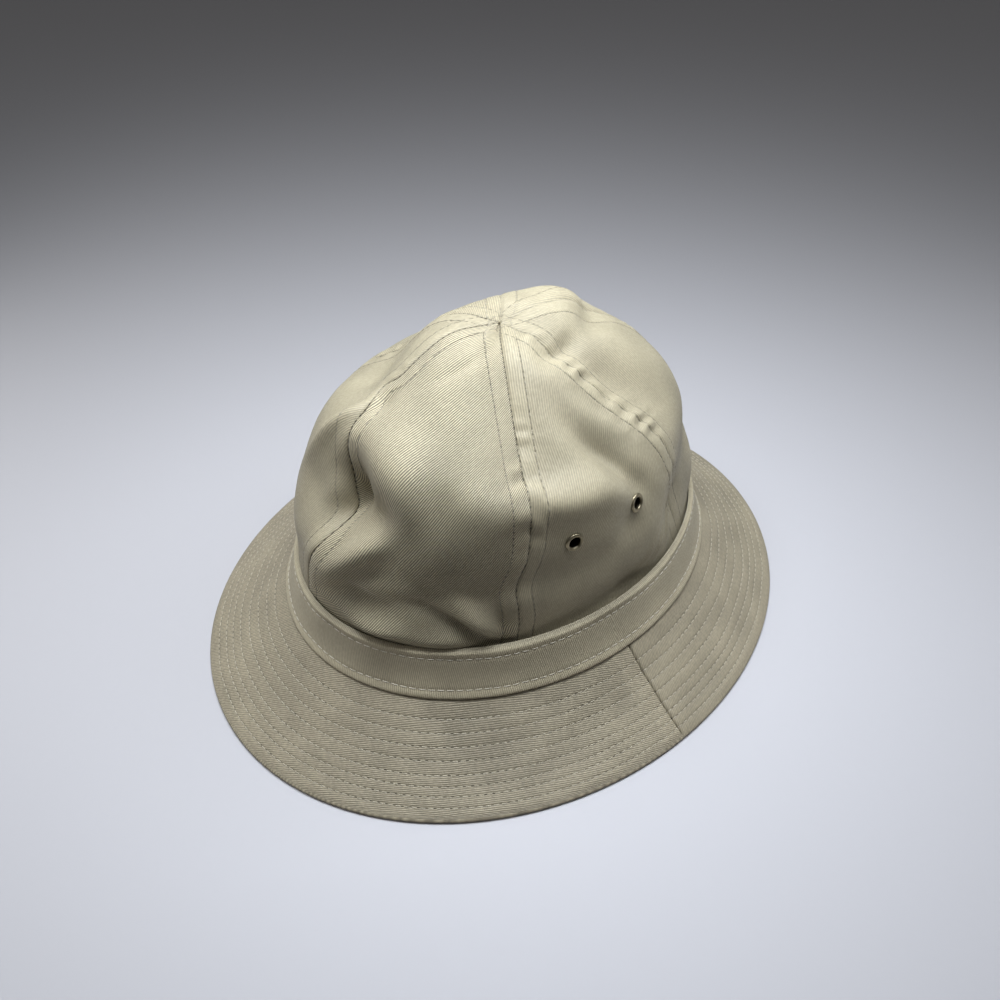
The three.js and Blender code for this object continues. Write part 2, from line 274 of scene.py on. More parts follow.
def random_field(seed, wavelength, waves=22):
    """A smooth random height of points in space, about -1 to 1, with bumps about a wavelength apart."""
    draws = np.random.default_rng(seed)
    direction = unit(draws.normal(size=(waves, 3)))
    pulse = direction * (2 * math.pi / (wavelength * draws.uniform(0.75, 1.6, waves)))[:, None]
    phase = draws.uniform(0, 2 * math.pi, waves)
    return lambda points: np.cos(points @ pulse.T + phase).sum(-1) / math.sqrt(waves)


broad_slack = random_field(seed=3, wavelength=34)
fine_slack = random_field(seed=5, wavelength=13)
brim_unevenness = random_field(seed=9, wavelength=11)


def slack_lift(points, broad, fine):
    return broad * broad_slack(points) + fine * fine_slack(points)


# The crown's shape

def spline(points, samples):
    """A centripetal Catmull-Rom curve through the points."""
    ends = [2 * points[0] - points[1], *points, 2 * points[-1] - points[-2]]
    share = np.linspace(0, 1, samples, endpoint=False)[:, None]
    pieces = []
    for before, start, end, after in zip(ends, ends[1:], ends[2:], ends[3:]):
        gap0, gap1, gap2 = (
            math.sqrt(np.linalg.norm(b - a)) for a, b in ((before, start), (start, end), (end, after))
        )
        leave = ((start - before) / gap0 - (end - before) / (gap0 + gap1) + (end - start) / gap1) * gap1
        arrive = ((end - start) / gap1 - (after - start) / (gap1 + gap2) + (after - end) / gap2) * gap1
        cubic = 2 * start - 2 * end + leave + arrive
        square = -3 * start + 3 * end - 2 * leave - arrive
        pieces.append(cubic * share ** 3 + square * share ** 2 + leave * share + start)
    return np.concatenate([*pieces, [points[-1]]])


def run_length(points):
    """The length along a row of points, from its first point to each."""
    steps = np.linalg.norm(np.diff(points, axis=0), axis=-1)
    return np.concatenate([[0], np.cumsum(steps)])


MERIDIAN = spline([np.array([s.half_width, s.half_length, s.z]) for s in CROWN_SECTIONS], 200)
MERIDIAN_UP = run_length(MERIDIAN)
CROWN_LENGTH = MERIDIAN_UP[-1]


def level_section(up):
    """Half width, half length and height of the crown's level section at a way up."""
    return [np.interp(up, MERIDIAN_UP, MERIDIAN[:, k]) for k in range(3)]


def seam_turn(seam, up, bends=BENDS):
    share = up / CROWN_LENGTH
    rest = 1 - share
    hem = seam.hem_turn * rest * (rest - share)
    plain = hem + seam.mid_turn * 4 * rest * share + seam.top_turn * share * (share - rest)
    return plain + sum(b.turn * bell(up - b.up, b.spread) for b in bends if b.seam == seam.name)


def turn_between(turn, other):
    return (turn - other + 180) % 360 - 180


def fold_depth(folds, turn, up):
    depth = np.zeros(np.shape(turn))
    for fold in folds:
        rise = up - fold.up
        across = turn_between(turn, fold.turn + fold.slant * rise)
        depth += fold.depth * bell(across, fold.spread_turn) * bell(rise, fold.spread_up)
    return depth


def smooth_point(turn, up):
    half_width, half_length, z = level_section(up)
    angle = np.radians(turn)
    return np.stack([half_width * np.cos(angle), half_length * np.sin(angle), z], -1)


def facing(face, turn, up):
    """The outward direction of a face that is a function of turn and way up."""
    step = 0.01 * CROWN_LENGTH
    level = np.clip(up, step, CROWN_LENGTH - 2 * step)
    along = face(turn + 0.5, level) - face(turn - 0.5, level)
    rise = face(turn, level + step) - face(turn, level - step)
    return unit(np.cross(along, rise))


def crown_point(turn, up):
    depth = fold_depth(CROWN_FOLDS, turn, up) + fold_depth(CREASES, turn, up)
    return smooth_point(turn, up) - facing(smooth_point, turn, up) * depth[..., None]


def mm_per_degree(turn, up):
    half_width, half_length, _ = level_section(up)
    angle = np.radians(turn)
    return np.hypot(half_width * np.sin(angle), half_length * np.cos(angle)) * math.pi / 180


def nearest_seam(turn, up):
    """The index of the nearest seam, and how far round from it a point lies."""
    away = np.stack([turn_between(turn, seam_turn(seam, up)) for seam in SEAMS])
    nearest = np.abs(away).argmin(0)
    return nearest, np.take_along_axis(away, nearest[None], 0)[0] * mm_per_degree(turn, up)


def seam_column(column, seam):
    """A column of the seam table, looked up for each point's nearest seam."""
    return np.array([getattr(row, column) for row in SEAMS])[seam]


def seam_pucker(seam, side, away, up):
    """How far the cloth ripples beside its nearest seam. The two sides of a closed seam ripple as one."""
    joined = np.clip(4 * seam_column("closed", seam), 0, 1)
    shift = PUCKER.seam_shift * seam + PUCKER.side_shift * side * (1 - joined)
    uneven = np.sin(up / PUCKER.uneven_length + PUCKER.uneven_shift * shift)
    strength = bell(up - seam_column("pucker_up", seam), seam_column("pucker_spread", seam))
    amount = seam_column("pucker", seam) * strength * (1 - PUCKER.uneven * (1 - uneven))
    sway = PUCKER.sway * np.sin(up / PUCKER.sway_length + 2 * shift)
    jitter = PUCKER.jitter * np.sin(up / PUCKER.jitter_length + shift)
    ripple_up = up + PUCKER.slant * away + sway + jitter
    wave = np.sin(2 * math.pi * ripple_up / PUCKER.length + shift)
    share = np.clip(away / SEAM_STITCH_ROW, 0, 1)
    inside = np.sin(math.pi * (share + joined * (1 - share) * 0.5)) ** 0.8
    past_row = smooth(away, SEAM_STITCH_ROW, SEAM_STITCH_ROW + 2)
    outside = PUCKER.outside * past_row * bell(away - SEAM_STITCH_ROW, PUCKER.outside_width)
    return amount * wave * (inside + outside)


def crown_relief(turn, up, points):
    """How far sewing and slack lift the cloth off the plain crown, and the distance to the nearest seam."""
    seam, offset = nearest_seam(turn, up)
    away = np.abs(offset)
    closed = seam_column("closed", seam)
    ditch = -SEAM_RELIEF.ditch * bell(away, SEAM_RELIEF.ditch_width) * (1 - 3 * closed)
    strip_edge = 1 - smooth(away, SEAM_STITCH_ROW - 0.2, SEAM_STITCH_ROW + 1.8)
    strip = SEAM_RELIEF.strip * smooth(away, 0.2, 1.6) * strip_edge
    dent = -SEAM_RELIEF.dent * bell(away - SEAM_STITCH_ROW, SEAM_RELIEF.dent_width)
    lift = strip + seam_pucker(seam, np.sign(offset), away, up) + slack_lift(points, *CROWN_SLACK)
    return ditch + dent + smooth(up, *CLEAR_OF_BAND) * lift, np.maximum(away, closed)


# Meshes

def new_object(name, data):
    made = bpy.data.objects.new(name, data)
    bpy.context.scene.collection.objects.link(made)
    return made


def new_piece(name, points, faces, sharp=180):
    """An object from points in millimetres, smooth except at edges sharper than so many degrees."""
    mesh = bpy.data.meshes.new(name)
    mesh.from_pydata(points.reshape(-1, 3) * MM, [], faces)
    mesh.shade_smooth()
    if sharp < 180:
        mesh.set_sharp_from_angle(angle=math.radians(sharp))
    return new_object(name, mesh)


def there_and_back(outer, inner):
    """One loop per station: along the outer face and back along the inner one."""
    return np.concatenate([outer, inner[:, ::-1]], axis=1)


def swept_mesh(name, outer, inner, cloth, rows, relief, closed, cut=None):
    """A closed cloth solid: faces of points (station, column, xyz), joined station to station.

    cloth and rows are texture coordinates, relief is a height that the material reads to paint shade in
    hollows and wear on ridges, and cut marks the squares left out as a hole through both faces. A closed
    sweep joins its last station to its first, and its texture coordinates have one station more.
    """
    loops = there_and_back(outer, inner)
    stations, count = loops.shape[:2]
    hole = np.zeros((stations, count // 2 - 1), bool)
    if cut is not None:
        hole[:-1] = cut
    station, place = np.moveaxis(swept_corners(stations, count, closed, hole), -1, 0)
    faces = station % stations * count + place
    used, renumbered = np.unique(faces, return_inverse=True)
    points = loops.reshape(-1, 3)[used]
    piece = new_piece(name, points, renumbered.reshape(faces.shape).tolist(), sharp=65)
    height = piece.data.attributes.new("relief", "FLOAT", "POINT")
    height.data.foreach_set("value", there_and_back(relief, relief).reshape(-1)[used].astype(np.float32))
    for title, values in (("cloth", cloth), ("rows", rows)):
        layer = piece.data.uv_layers.new(name=title)
        at_corners = there_and_back(values, values)[station, place]
        layer.data.foreach_set("uv", at_corners.reshape(-1).astype(np.float32))
    return piece


def swept_corners(stations, count, closed, hole):
    """The corners of a sweep's faces, as (station, place in the loop): sides, ends, walls round holes."""
    half = count // 2
    left_out = np.zeros((stations, count), bool)
    left_out[:, : half - 1] = hole
    left_out[:, half : count - 1] = hole[:, ::-1]
    station, place = np.nonzero(~left_out[: stations if closed else stations - 1])
    ahead = (place + 1) % count
    around = [(station, place), (station, ahead), (station + 1, ahead), (station + 1, place)]
    corners = [np.stack([np.stack(pair, -1) for pair in around], 1)]
    if not closed:
        first = np.arange(half - 1)
        strip = np.stack([first, count - 1 - first, count - 2 - first, first + 1], -1)
        for end, order in ((0, strip), (stations - 1, strip[:, ::-1])):
            corners.append(np.stack([np.full(order.shape, end), order], -1))
    for a, b in hole_edges(hole):
        corners.append(np.array([[a, b, (b[0], count - 1 - b[1]), (a[0], count - 1 - a[1])]]))
    return np.concatenate(corners)


def hole_edges(hole):
    """The edges round the squares left out, as pairs of (station, column), each with cloth on its left."""
    edges = []
    for i, j in np.argwhere(hole):
        around = (
            ((i, j), (i, j + 1), (i - 1, j)),
            ((i, j + 1), (i + 1, j + 1), (i, j + 1)),
            ((i + 1, j + 1), (i + 1, j), (i + 1, j)),
            ((i + 1, j), (i, j), (i, j - 1)),
        )
        edges += [(start, end) for start, end, beyond in around if not hole[beyond]]
    return edges


def panel_edges(number, ups, bends=BENDS):
    """The turns of the seams at a gore's two sides."""
    after = (number + 1) % len(SEAMS)
    lap = 360 if after == 0 else 0
    return seam_turn(SEAMS[number], ups, bends), seam_turn(SEAMS[after], ups, bends) + lap


def panel_turns(start, end, ups):
    """The turns of a gore's columns at each level: close together beside the seams and even between."""
    span = (end - start)[:, None]
    width = span[:, 0] * mm_per_degree(0.5 * (start + end), ups)
    squeeze = np.minimum(1, STRIP_SHARE * width / STRIP_COLUMNS[-1])[:, None]
    most = STRIP_SHARE * STRIP_COLUMNS / STRIP_COLUMNS[-1]
    strips = []
    for edge in (start, end):
        edge_span = np.maximum(mm_per_degree(edge, ups)[:, None] * span, 1e-3)
        strips.append(np.minimum(STRIP_COLUMNS * squeeze / edge_span, most))
    first, last = strips
    middle = between(first[:, -1:], 1 - last[:, -1:], np.linspace(0, 1, PANEL_MIDDLE_COLUMNS + 2)[1:-1])
    return start[:, None] + span * np.concatenate([first, middle, 1 - last[:, ::-1]], axis=1)


def panel_piece(number):
    """One gore of the crown, between two seams."""
    name = PANELS[number].name
    ups = np.linspace(0, CROWN_LENGTH, PANEL_LEVELS)
    turn = panel_turns(*panel_edges(number, ups), ups)
    up = np.broadcast_to(ups[:, None], turn.shape)
    base = crown_point(turn, up)
    normal = facing(crown_point, turn, up)
    relief, away = crown_relief(turn, up, base)
    outer = base + normal * relief[..., None]
    inner = outer - normal * PANEL_CLOTH
    cut = np.zeros((turn.shape[0] - 1, turn.shape[1] - 1), bool)
    for eyelet in EYELETS:
        if eyelet.panel == name:
            cut |= punch(outer, inner, eyelet)
    plain_start, plain_end = panel_edges(number, ups, bends=())
    grain = 0.5 * (plain_start + plain_end)
    across = np.stack([run_length(row) for row in base])
    across -= np.array([np.interp(g, t, a) for g, t, a in zip(grain, turn, across)])[:, None]
    along = np.broadcast_to(run_length(crown_point(grain, ups))[:, None], across.shape)
    cloth = np.stack([across, along], -1)
    rows = np.stack([up / SEAM_STITCH.pitch, away], -1)
    return swept_mesh(f"{name}_cloth", outer, inner, cloth, rows, relief, closed=False, cut=cut)


def eyelet_seat(eyelet):
    """The middle of an eyelet on the crown's face, and the direction it faces."""
    turn, up = np.array(float(eyelet.turn)), np.array(float(eyelet.up))
    point = crown_point(turn, up)
    normal = facing(crown_point, turn, up)
    return point + normal * crown_relief(turn, up, point)[0], normal


def punch(outer, inner, eyelet):
    """Marks a panel's squares inside an eyelet's hole and draws the cloth round it to a clean circle."""
    point, normal = eyelet_seat(eyelet)
    flat = (outer - point) - ((outer - point) @ normal)[..., None] * normal
    radius = np.linalg.norm(flat, axis=-1)
    near = np.abs((outer - point) @ normal) < EYELET_REACH
    corner_far = np.stack([radius[:-1, :-1], radius[1:, :-1], radius[:-1, 1:], radius[1:, 1:]]).mean(0)
    cut = (corner_far < EYELET_HOLE) & near[:-1, :-1]
    edge = near & (radius < EYELET_HOLE + EYELET_EASE)
    grown = np.maximum(radius, EYELET_HOLE) / np.maximum(radius, 1e-6)
    for face in (outer, inner):
        face[edge] += (flat * (grown - 1)[..., None])[edge]
    return cut


# The band and the brim are swept round the oval from station to station

def band_swell(down):
    """How far the band's face stands off its slope, at a way down it: hollow, then flared."""
    hollow = BAND_RELIEF.hollow * np.sin(math.pi * np.clip((down - 2) / (BAND_SLANT - 5), 0, 1))
    return BAND_RELIEF.flare * smooth(down, BAND_SLANT - 5, BAND_SLANT - 1) - hollow


def band_piece():
    """The doubled hatband: rolled top edge, slightly hollow face, flared lower edge."""
    edge = [BAND_SLANT - 0.7, BAND_SLANT]
    down = np.concatenate([np.linspace(0, 1.6, 7), np.linspace(2.2, BAND_SLANT - 1.4, 30), edge])
    fall = down / BAND_SLANT
    roll = BAND_RELIEF.roll * bell(down - 1.3, 1.0) - BAND_RELIEF.top_turn * bell(down, 0.55)
    low_turn = BAND_RELIEF.low_turn * bell(down - BAND_SLANT, 0.5)
    from_row = np.abs(down[:, None] - np.array(BAND_ROWS)).min(1)
    profile = roll + band_swell(down) - low_turn - BAND_RELIEF.dent * bell(from_row, 0.7)
    turn = np.linspace(0, 360, BAND.stations, endpoint=False)[:, None]
    ripple = slack_lift(band_point(turn, fall, profile), *BAND_SLACK)
    calm = smooth(down, 0, 3) * (1 - smooth(down, BAND_SLANT - 3, BAND_SLANT))
    outer = band_point(turn, fall, profile + ripple * calm)
    thin = 0.35 * (bell(down, 0.6) + bell(down - BAND_SLANT, 0.5))
    inner = band_point(turn, fall, thin - BAND.cloth)
    inner[..., 2] += 1.5 * smooth(down, BAND_SLANT - 4, BAND_SLANT)
    middle = outer[:, len(down) // 2]
    along = run_length(np.concatenate([middle, middle[:1]]))
    stitches = along / along[-1] * round(along[-1] / BAND_STITCH.pitch)
    cloth = grid_pairs(along, down)
    rows = grid_pairs(stitches, from_row)
    return swept_mesh("band_cloth", outer, inner, cloth, rows, profile + ripple, closed=True)


def grid_pairs(stations, places):
    return np.stack(np.broadcast_arrays(stations[:, None], places), -1)


def band_point(turn, fall, proud):
    """A point of the band: fall goes from its top (0) to its lower edge (1), proud lifts it off the face."""
    angle = np.radians(turn)
    x = (between(BAND.top_half_width, BAND.bottom_half_width, fall) + proud) * np.cos(angle)
    y = (between(BAND.top_half_length, BAND.bottom_half_length, fall) + proud) * np.sin(angle)
    z = between(BAND.top, BAND.bottom, fall)
    return np.stack([x, y, np.broadcast_to(z, x.shape)], -1)


def brim_oval(share):
    """Half width and half length of the brim, where share goes from its edge (0) to the crown (1)."""
    half_width = between(BRIM.half_width, BRIM.inner_half_width, share)
    half_length = between(BRIM.half_length, BRIM.inner_half_length, share)
    return half_width, half_length


def brim_point(turn, share, proud=0.0):
    """A point of the brim's upper face, lifted off it by proud."""
    angle = np.radians(turn)
    half_width, half_length = brim_oval(share)
    z = between(BRIM.edge, BRIM.height, share) - BRIM.sag * np.sin(math.pi * share)
    x = (half_width + proud * math.sin(BRIM_SLOPE)) * np.cos(angle)
    y = (half_length + proud * math.sin(BRIM_SLOPE)) * np.sin(angle)
    return np.stack([x, y, np.broadcast_to(z + proud * math.cos(BRIM_SLOPE), x.shape)], -1)


def from_brim_row(share):
    return np.abs(share[:, None] - BRIM_ROW_SHARES).min(1) * BRIM_SLANT / BRIM_BAND_SHARE


def from_brim_ends(turn_share, share):
    """The distance to the nearer end of a brim half."""
    return np.minimum(turn_share, 1 - turn_share)[:, None] * BRIM_HALF_ROUND * (1.15 - 0.3 * share)


def brim_relief(share, points, ends, raised):
    """How far quilting, slack and the side seams lift the brim's upper face."""
    away = from_brim_row(share)
    quilt = BRIM_RELIEF.quilt * smooth(away, 0.4, 2.6) - BRIM_RELIEF.dent * bell(away, 0.45)
    uneven = BRIM_RELIEF.uneven * brim_unevenness(points) + BRIM_RELIEF.slack * broad_slack(points)
    strip = raised * smooth(ends, 0.1, 0.7) * (1 - smooth(ends, 7.5, 10))
    inside = smooth(share, 0.0, 0.08) * (1 - smooth(share, BRIM_BAND_SHARE - 0.02, BRIM_BAND_SHARE + 0.03))
    return (quilt + uneven + strip) * inside - BRIM_RELIEF.ditch * bell(ends, 0.4)


def brim_edge(turn):
    """The brim's round edge on the ground, from its upper face round to its under side."""
    radius = 0.5 * BRIM.edge + 0.1
    edge = []
    for bend in np.radians(BRIM_EDGE_TURNS):
        rim = brim_point(turn, np.array([radius * (1 - math.cos(bend)) / BRIM_LEVEL_WIDTH]))
        rim[..., 2] = radius * (1 + math.sin(bend))
        edge.append(rim)
    return np.concatenate(edge, axis=1)


def brim_piece(half):
    """Half of the brim, with its row-stitching and a round edge on the ground."""
    near_rows = (BRIM_ROW_SHARES[:, None] + BRIM_ROW_COLUMNS / BRIM_SLANT).ravel()
    share = np.unique(np.concatenate([np.linspace(0.04, 1, 34), near_rows]))[::-1]
    near_end = BRIM_END_STATIONS / BRIM_HALF_ROUND
    clear = BRIM_END_CLEAR / BRIM_HALF_ROUND
    middle = np.linspace(clear, 1 - clear, BRIM.stations)
    turn_share = np.concatenate([near_end, middle, 1 - near_end[::-1]])
    turn = (half.start_turn + 180 * turn_share)[:, None]
    relief = brim_relief(share, brim_point(turn, share), from_brim_ends(turn_share, share), half.raised)
    top = brim_point(turn, share, relief)
    under = brim_point(turn, share, relief - BRIM.cloth)
    under[..., 2] = np.maximum(under[..., 2], 0)
    edge = brim_edge(turn)
    rims = len(BRIM_EDGE_TURNS) // 2
    outer = np.concatenate([top, edge[:, :rims]], axis=1)
    inner = np.concatenate([under, edge[:, : rims - 1 : -1]], axis=1)
    shares = np.concatenate([share, np.zeros(rims)])
    full_relief = np.concatenate([relief, np.zeros((len(turn), rims))], axis=1)
    cloth = unrolled(turn, shares, half.start_turn + 90)
    far_from_rows = np.full(rims, 9.0)
    away = np.concatenate([from_brim_row(share), far_from_rows])
    rows = np.stack(np.broadcast_arrays(turn_share[:, None] * stitch_count(shares), away), -1)
    return swept_mesh(f"{half.name}_cloth", outer, inner, cloth, rows, full_relief, closed=False)


def unrolled(turn, share, middle_turn):
    """Places on the flat cloth that a brim half is cut from, in millimetres: the cone rolled out."""
    face = brim_point(turn, share)
    radius = np.hypot(face[..., 0], face[..., 1]) / math.cos(BRIM_SLOPE)
    around = np.arctan2(face[..., 1], face[..., 0])
    middle = math.radians(middle_turn)
    swing = (around - middle + math.pi) % (2 * math.pi) - math.pi
    angle = middle + swing * math.cos(BRIM_SLOPE)
    return np.stack([radius * np.cos(angle), radius * np.sin(angle)], -1)


def stitch_count(share):
    """How many stitches go round half of the brim in the row nearest to each share of the slope."""
    half_width, half_length = brim_oval(BRIM_ROW_SHARES[np.abs(share[:, None] - BRIM_ROW_SHARES).argmin(1)])
    return np.round(0.5 * math.pi * (half_width + half_length) / BRIM_STITCH.pitch)


# Stitches: short threads that bow out of the cloth and dive back in

def stitch_threads(path, normals, places, stitch):
    """Vertices and faces of one thread for each place (mm) along a path."""
    run = run_length(path)
    sides = 6
    stations = np.array([-0.5, -0.36, 0, 0.36, 0.5]) * stitch.length
    heights = np.array([-1.6, 0.1, stitch.rise / stitch.radius, 0.1, -1.6]) * stitch.radius
    widths = np.array([0.6, 1, 1, 1, 0.6]) * stitch.radius
    at = places[:, None] + stations
    point = np.stack([np.interp(at, run, path[:, k]) for k in range(3)], -1)
    normal = unit(np.stack([np.interp(at, run, normals[:, k]) for k in range(3)], -1))
    side = np.cross(normal, unit(np.gradient(point, axis=1)))
    centre = point + normal * heights[:, None]
    angle = np.arange(sides) * 2 * math.pi / sides
    ring = (
        side[:, :, None] * np.cos(angle)[:, None] + normal[:, :, None] * np.sin(angle)[:, None]
    ) * widths[:, None, None]
    vertices = (centre[:, :, None] + ring).reshape(-1, 3)
    return vertices, thread_faces(len(places), len(stations), sides)


def thread_faces(threads, stations, sides):
    index = np.arange(threads * stations * sides).reshape(threads, stations, sides)
    after = np.roll(index, -1, axis=2)
    walls = np.stack([index[:, :-1], index[:, 1:], after[:, 1:], after[:, :-1]], -1)
    return [*walls.reshape(-1, 4).tolist(), *index[:, 0].tolist(), *index[:, -1, ::-1].tolist()]


def even_places(path, count):
    return (np.arange(count) + 0.5) * run_length(path)[-1] / count


def stitching_piece(name, runs):
    vertices = []
    faces = []
    for points, polygons in runs:
        shift = sum(len(v) for v in vertices)
        vertices.append(points)
        faces += [[corner + shift for corner in polygon] for polygon in polygons]
    return new_piece(name, np.concatenate(vertices), faces)


def seam_row(seam, side):
    """A stitch row beside a crown seam: a straight line past the apex, seen from above."""
    along = np.arange(-SEAM_ROW_PAST_APEX, CROWN_LENGTH - SEAM_ROW_ABOVE_HEM, 0.5)
    from_apex = np.hypot(along, SEAM_STITCH_ROW)
    up = CROWN_LENGTH - from_apex
    turn = seam_turn(seam, up)
    spread = from_apex / (mm_per_degree(turn, up) * 180 / math.pi)
    return turn + side * np.degrees(np.arctan2(SEAM_STITCH_ROW * spread, along)), up


def crown_stitching():
    runs = []
    for seam in SEAMS:
        for side in (-1, 1):
            turn, up = seam_row(seam, side)
            base = crown_point(turn, up)
            normal = facing(crown_point, turn, up)
            path = base + normal * crown_relief(turn, up, base)[0][:, None]
            places = np.arange(2, run_length(path)[-1] - 2, SEAM_STITCH.pitch)
            runs.append(stitch_threads(path, normal, places, SEAM_STITCH))
    return stitching_piece("crown_stitching", runs)


def band_stitching():
    runs = []
    turn = np.linspace(0, 360, 1441)
    angle = np.radians(turn)
    tilt = np.full(len(turn), BAND_LEAN / BAND_SLANT)
    normal = unit(np.stack([np.cos(angle), np.sin(angle), tilt], -1))
    for row in BAND_ROWS:
        fall = np.array(row / BAND_SLANT)
        proud = band_swell(row) - BAND_RELIEF.dent
        ripple = slack_lift(band_point(turn, fall, proud), *BAND_SLACK)
        path = band_point(turn, fall, proud + ripple)
        places = even_places(path, round(run_length(path)[-1] / BAND_STITCH.pitch))
        runs.append(stitch_threads(path, normal, places, BAND_STITCH))
    return stitching_piece("band_stitching", runs)


def brim_stitching():
    runs = []
    turn_share = np.linspace(0, 1, 900)
    for half in BRIM_HALVES:
        turn = (half.start_turn + 180 * turn_share)[:, None]
        for share in BRIM_ROW_SHARES:
            level = np.array([share])
            ends = from_brim_ends(turn_share, level)
            relief = brim_relief(level, brim_point(turn, level), ends, half.raised)
            path = brim_point(turn, level, relief)[:, 0]
            normal = brim_point(turn, level, relief + 1)[:, 0] - path
            places = even_places(path, int(stitch_count(level)[0]))
            runs.append(stitch_threads(path, normal, places, BRIM_STITCH))
    return stitching_piece("brim_stitching", runs)


# Eyelets

def eyelet_piece(eyelet):
    """A rolled brass eyelet: a round flange outside, a barrel through the cloth, a clinched lip inside."""
    roll = np.linspace(0, math.pi, 12)
    radius = EYELET_FLANGE.inside + EYELET_FLANGE.half_width * (1 - np.cos(roll))
    flange = np.stack([radius, EYELET_FLANGE.seat + EYELET_FLANGE.height * np.sin(roll)], -1)
    barrel = [EYELET_FOOT, (EYELET_BARREL, 0), (EYELET_BARREL, -PANEL_CLOTH)]
    lip = [(reach, -PANEL_CLOTH - below) for reach, below in EYELET_LIP]
    profile = np.concatenate([flange, barrel, lip])
    point, normal = eyelet_seat(eyelet)
    across = unit(np.cross([0, 0, 1], normal))
    upward = np.cross(normal, across)
    angle = np.arange(EYELET_SIDES) * 2 * math.pi / EYELET_SIDES
    spoke = across * np.cos(angle)[:, None] + upward * np.sin(angle)[:, None]
    loops = point + spoke[:, None] * profile[:, :1] + normal * profile[:, 1:]
    index = np.arange(loops.shape[0] * loops.shape[1]).reshape(loops.shape[:2])
    ahead = np.roll(index, -1, axis=0)
    faces = np.stack([index, ahead, np.roll(ahead, -1, axis=1), np.roll(index, -1, axis=1)], -1)
    return new_piece(f"{eyelet.name}_metal", loops, faces.reshape(-1, 4).tolist(), sharp=50)


# Materials

class Shader:
    """A material's node tree, with short calls for the nodes that the cloth needs."""

    def __init__(self, name):
        self.material = bpy.data.materials.new(name)
        self.material.use_nodes = True
        self.tree = self.material.node_tree
        self.surface = self.tree.nodes["Principled BSDF"]

    def put(self, socket, value):
        if isinstance(value, bpy.types.NodeSocket):
            self.tree.links.new(value, socket)
        else:
            socket.default_value = value

    def add(self, kind, inputs, **settings):
        node = self.tree.nodes.new("ShaderNode" + kind)
        for key, value in settings.items():
            setattr(node, key, value)
        for key, value in inputs.items():
            self.put(node.inputs[key], value)
        return node

    def math(self, operation, *values):
        return self.add("Math", dict(enumerate(values)), operation=operation).outputs[0]

    def total(self, *values):
        return reduce(partial(self.math, "ADD"), values)

    def product(self, *values):
        return reduce(partial(self.math, "MULTIPLY"), values)

    def ramp(self, value, low, high, start, end):
        inputs = {"Value": value, "From Min": low, "From Max": high, "To Min": start, "To Max": end}
        return self.add("MapRange", inputs, interpolation_type="SMOOTHSTEP").outputs["Result"]

    def coordinates(self, layer):
        vector = self.add("UVMap", {}, uv_map=layer).outputs["UV"]
        parts = self.add("SeparateXYZ", {"Vector": vector}).outputs
        return parts["X"], parts["Y"]

    def cloth_noise(self, x, y, x_scale, y_scale, detail):
        place = {"X": self.product(x, x_scale), "Y": self.product(y, y_scale)}
        vector = self.add("CombineXYZ", place).outputs["Vector"]
        inputs = {"Vector": vector, "Scale": 1.0, "Detail": detail}
        return self.add("TexNoise", inputs, noise_dimensions="2D").outputs["Fac"]

    def space_noise(self, scale, detail):
        place = self.add("NewGeometry", {}).outputs["Position"]
        return self.add("TexNoise", {"Vector": place, "Scale": scale, "Detail": detail}).outputs["Fac"]

    def tint(self, color, factor):
        """A colour made lighter or darker by a factor."""
        scale = self.add("VectorMath", {0: color, "Scale": factor}, operation="SCALE")
        return scale.outputs["Vector"]

    def finish(self, color, roughness, height, bump, fixed):
        self.put(self.surface.inputs["Base Color"], color)
        self.put(self.surface.inputs["Roughness"], roughness)
        inputs = {"Strength": 1.0, "Distance": bump, "Height": height}
        self.put(self.surface.inputs["Normal"], self.add("Bump", inputs).outputs["Normal"])
        for key, value in fixed.items():
            self.surface.inputs[key].default_value = value
        return self.material


